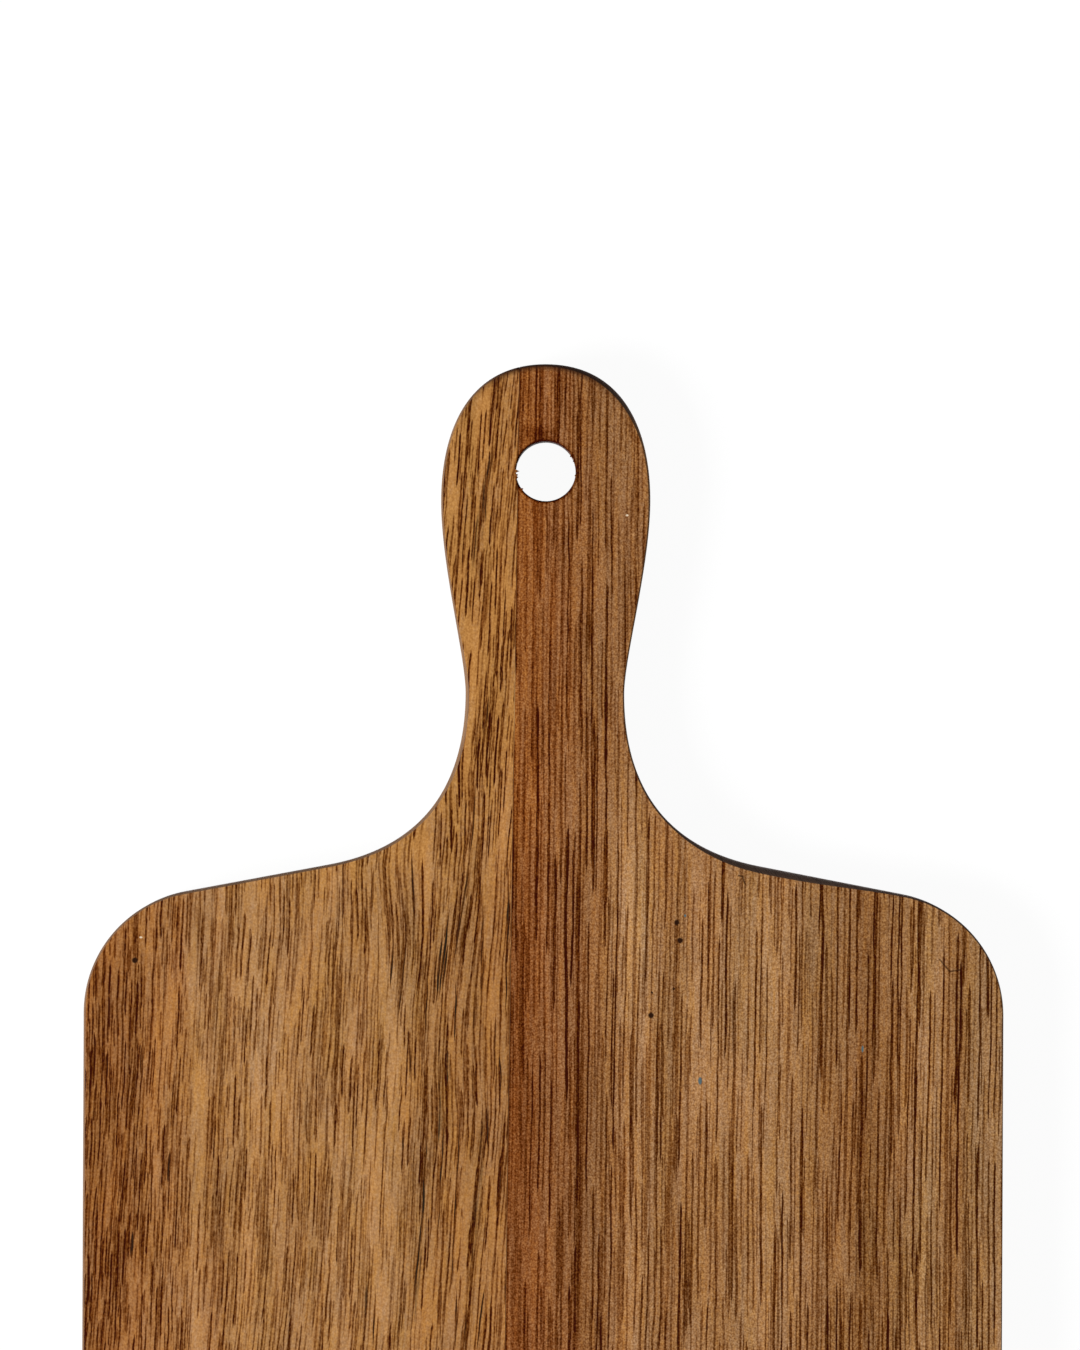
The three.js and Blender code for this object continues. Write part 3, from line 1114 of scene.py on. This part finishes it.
# Fine cracks, each by the places it runs through, and its width
STRAIGHT_CRACK = ((86.1, 60.9), (88.3, 58.3), (90.5, 58.7))
STRAIGHT_CRACK_WIDTH = 0.35
CURLED_CRACK = ((42.3, 79.0), (43.2, 78.8), (43.4, 77.9), (43.7, 77.2))
CURLED_CRACK_WIDTH = 0.4
CRACK_STRENGTH = 0.7

# Glue: a stretch along Y where it is pale, by where it begins and ends to fade in and to fade out
PALE_GLUE_START = (105, 109)
PALE_GLUE_END = (122, 126)
# Wood that the glue has soaked into: how far from the seam it begins to be dark, and is all dark
SOAKED_REACH = (0.6, 0.3)
SOAKED_DARKNESS = 55
SOAKED_SHARE = 0.7  # about how much of it there is, and how that varies
SOAKED_PATCHES = Noise(3, 12, 3, seed=48, swing=0.5)


def pale_glue(y):
    """1 along the stretch where the glue is pale."""
    return y.step(*PALE_GLUE_START) - y.step(*PALE_GLUE_END)


def soaked_wood(stave):
    """How far the wood beside the seam is dark with glue."""
    from_seam = stave.x - SEAM_AT_TIP - (stave.y - TIP_Y) * math.tan(SEAM_LEAN)
    amount = swing(stave.place, SOAKED_PATCHES) + SOAKED_SHARE
    return from_seam.step(*SOAKED_REACH) * amount * pale_glue(stave.y).rest()


def right_wood():
    material, tree, shader = new_material("right_stave_wood")
    stave = Stave(tree, RIGHT_RING_SLANT)
    x, y, z = stave.place
    patches = patches_at(x, y, RIGHT_PATCHES) * stave.face

    # Two sets of nearly straight lines
    shift = profile(y, RIGHT_GRAIN)
    bend = swing(stave.place, RIGHT_BEND)
    wander = swing(stave.place, RIGHT_WANDER)
    sway = wander + swing(stave.place, RIGHT_RIPPLE)
    straight = (x - shift + bend + sway, y, z)
    cross = (x - shift * RIGHT_CROSS_GRAIN + bend - sway, y, z)

    bands = swing(straight, RIGHT_BANDS)
    blotches = swing(straight, RIGHT_BLOTCHES)
    speckle = swing(stave.place, RIGHT_SPECKLE)
    long_breaks = swing(cross, RIGHT_LONG_BREAKS) * stave.handle.between(*RIGHT_LONG_BREAK_SWINGS)
    ragged = swing(straight, RIGHT_SHORT_BREAKS) + 1 + long_breaks
    fewer = bands * RIGHT_BANDS_FEWER + blotches * RIGHT_BLOTCHES_FEWER + patches * RIGHT_PATCHES_FEWER
    share = fewer * -1 + RIGHT_LINE_SHARE
    many = vessels(cross, RIGHT_MANY, share)
    fine = vessels(straight, RIGHT_FINE, share * RIGHT_FINE_SHARE)
    strong = vessels(straight, RIGHT_STRONG, share * RIGHT_STRONG_SHARE)
    lines = many.most(fine, strong) * profile(x, RIGHT_LINES)
    lines = lines * (stave.handle * RIGHT_HANDLE_LINES + 1) * ragged
    streaks = streaks_at(x + wander, y, RIGHT_STREAKS, RIGHT_STREAK_BLUR) * stave.face * ragged

    ground = blend(stave.handle, profile(x, RIGHT_LIGHTNESS), profile(x, RIGHT_HANDLE_LIGHTNESS)) + patches
    ground = ground + bands * RIGHT_BANDS_LIGHTER + blotches * RIGHT_BLOTCHES_LIGHTER
    ground = ground + swing(straight, RIGHT_FIBRE) + speckle * RIGHT_SPECKLE_LIGHTER
    lightness = (ground - lines).least(ground - streaks * RIGHT_STREAK_DARKNESS)
    lightness = lightness - stave.end_grain * RIGHT_END_GRAIN_DARKER - stave.wall * RIGHT_WALL_DARKER
    lightness = lightness - stave.rim * RIM_DARKNESS - soaked_wood(stave) * SOAKED_DARKNESS
    warmth = profile(x, RIGHT_WARMTH) + blotches * BLOTCHES_WARMER
    greyness = blend(stave.handle, profile(x, RIGHT_GREYNESS), profile(x, RIGHT_HANDLE_GREYNESS))
    greyness = greyness + swing(straight, RIGHT_CAST_BANDS) + swing(stave.place, RIGHT_CAST_SPECKLE)

    colour = wood_colour(lightness, warmth, greyness)
    # painted light and shade on the eased edges: paler along the side and the handle, dark where they face
    # the tip, away from the lamp
    edge_light_and_shade = mix(stave.handle, RIGHT_SIDE_EDGE_LIT_TONE, RIGHT_HANDLE_EDGE_LIT_TONE)
    edge_light_and_shade = mix(stave.shade_towards_tip, edge_light_and_shade, RIGHT_EDGE_SHADE_TONE)
    colour = mix(stave.eased * EDGE_LIGHT_AND_SHADE_SHARE, colour, edge_light_and_shade)
    # painted shade near the tip, darker towards the edge, as of a rounded edge turned from the lamp
    colour = mix(stave.tip_shade, colour, TIP_SHADE_TONE)
    cracks = crack(x, y, STRAIGHT_CRACK, STRAIGHT_CRACK_WIDTH)
    cracks = cracks.most(crack(x, y, CURLED_CRACK, CURLED_CRACK_WIDTH))
    colour = mix(cracks * stave.face * CRACK_STRENGTH, colour, KNOT_TONE)
    colour = marked(colour, x + speckle * KNOT_RAGGEDNESS, y, RIGHT_KNOTS, KNOT_TONE)
    colour = marked(colour, x, y, RIGHT_PALE_FLECKS, PALE_FLECK_TONE)
    colour = marked(colour, x, y, BLUISH_FLECKS, BLUISH_TONE)
    oil_finish(shader, colour, lines, speckle * RIGHT_GRIT)
    return material


# Dried glue: dark, with one pale stretch

GLUE_BLOTCHES = Noise(1, 4, 2, seed=21, detail=2)
GLUE_FADES = Noise(4, 22, 4, seed=22, swing=0.25)
DARK_GLUE_TONES = ((0.3, tone(60, 32, 16)), (0.7, tone(98, 58, 30)))
PALE_GLUE_TONES = ((0.3, tone(140, 100, 58)), (0.7, tone(186, 146, 96)))
GLUE_ROUGHNESS = 0.55


def dried_glue():
    material, tree, shader = new_material("dried_glue")
    place = board_place(tree)
    blotches = noise(place, GLUE_BLOTCHES)
    pale = (pale_glue(place[1]) + swing(place, GLUE_FADES)).within_one()
    colour = mix(pale, blotches.ramp(DARK_GLUE_TONES), blotches.ramp(PALE_GLUE_TONES))
    plug(tree, shader.inputs["Base Color"], colour)
    shader.inputs["Roughness"].default_value = GLUE_ROUGHNESS
    shader.inputs["Specular IOR Level"].default_value = SPECULAR
    return material


# Stage, in metres

FLOOR_REACH = 3.0
FLOOR_COLOUR = (0.6, 0.6, 0.6, 1)  # as the board is lit by it
# As it is seen: a glow near white, and this much paint that shows the shadow
SEEN_FLOOR_COLOUR = (0.08, 0.08, 0.08, 1)
SEEN_FLOOR_GLOW = 0.95
KEY_PLACE = Vector((-2.7, -0.9, 2.3))
KEY_AIM = Vector((0, 0.1, 0))
KEY_SIZE = 1.6
KEY_POWER = 182
WORLD_COLOUR = (1, 1, 1, 1)
WORLD_STRENGTH = 0.2

# Camera, in millimetres: straight above the picture's centre, and the height of what it sees of the board
CAMERA_HEIGHT = 2500
FRAME_HEIGHT = 293.5
FRAME_CENTRE_X = -1.08
FRAME_CENTRE_Y = TIP_Y - 67.6
CAMERA_ROLL = math.radians(0.247)
SENSOR_SIZE = 36


def floor_material():
    """A pale floor that is near white where it is seen, but keeps the shadow."""
    material, tree, _ = new_material("floor")
    tree.nodes.clear()
    output = tree.nodes.new("ShaderNodeOutputMaterial")
    paint = tree.nodes.new("ShaderNodeBsdfDiffuse")
    paint.inputs["Color"].default_value = FLOOR_COLOUR
    seen_paint = tree.nodes.new("ShaderNodeBsdfDiffuse")
    seen_paint.inputs["Color"].default_value = SEEN_FLOOR_COLOUR
    glow = tree.nodes.new("ShaderNodeEmission")
    glow.inputs["Strength"].default_value = SEEN_FLOOR_GLOW
    seen = tree.nodes.new("ShaderNodeAddShader")
    tree.links.new(seen_paint.outputs[0], seen.inputs[0])
    tree.links.new(glow.outputs[0], seen.inputs[1])
    path = tree.nodes.new("ShaderNodeLightPath")
    rays = [Field(tree, path.outputs[f"Is {kind} Ray"]) for kind in ("Camera", "Glossy", "Transmission")]
    choose = tree.nodes.new("ShaderNodeMixShader")
    plug(tree, choose.inputs[0], rays[0].most(*rays[1:]))
    tree.links.new(paint.outputs[0], choose.inputs[1])
    tree.links.new(seen.outputs[0], choose.inputs[2])
    tree.links.new(choose.outputs[0], output.inputs["Surface"])
    return material


def add_floor():
    reach = FLOOR_REACH
    corners = [(-reach, -reach, 0), (reach, -reach, 0), (reach, reach, 0), (-reach, reach, 0)]
    mesh = bpy.data.meshes.new("floor")
    mesh.from_pydata(corners, [], [(0, 1, 2, 3)])
    mesh.materials.append(floor_material())
    floor = add_object("floor", mesh)


def add_light():
    """One soft lamp from the left, and a white sky."""
    light = bpy.data.lights.new("key", "AREA")
    light.size = KEY_SIZE
    light.energy = KEY_POWER
    lamp = add_object("key", light)
    lamp.location = KEY_PLACE
    lamp.rotation_euler = (KEY_AIM - KEY_PLACE).to_track_quat("-Z", "Y").to_euler()
    world = bpy.data.worlds.new("world")
    world.use_nodes = True
    sky = world.node_tree.nodes["Background"]
    sky.inputs["Color"].default_value = WORLD_COLOUR
    sky.inputs["Strength"].default_value = WORLD_STRENGTH
    bpy.context.scene.world = world


def add_camera():
    data = bpy.data.cameras.new("camera")
    data.sensor_width = SENSOR_SIZE
    data.lens = SENSOR_SIZE * CAMERA_HEIGHT / FRAME_HEIGHT
    camera = add_object("camera", data)
    camera.location = (FRAME_CENTRE_X * MM, FRAME_CENTRE_Y * MM, (TOP_Z + CAMERA_HEIGHT) * MM)
    camera.rotation_euler = (0, 0, CAMERA_ROLL)
    bpy.context.scene.camera = camera


# Board and stage put together

left_stave = add_stave("left_stave_wood", -GLUE_THICKNESS / 2, keep_right=False)
left_stave.data.materials.append(left_wood())
right_stave = add_stave("right_stave_wood", GLUE_THICKNESS / 2, keep_right=True)
right_stave.data.materials.append(right_wood())
for piece, node in ((left_stave, "left_stave"), (right_stave, "right_stave")):
    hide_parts(node)
    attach(piece, "root")

glue = dried_glue()
for name in ("glue_line", "glue_line_above_hole"):
    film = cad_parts[name]
    film.data.materials.clear()
    film.data.materials.append(glue)

add_floor()
add_light()
add_camera()
bpy.context.scene.view_settings.view_transform = "Standard"
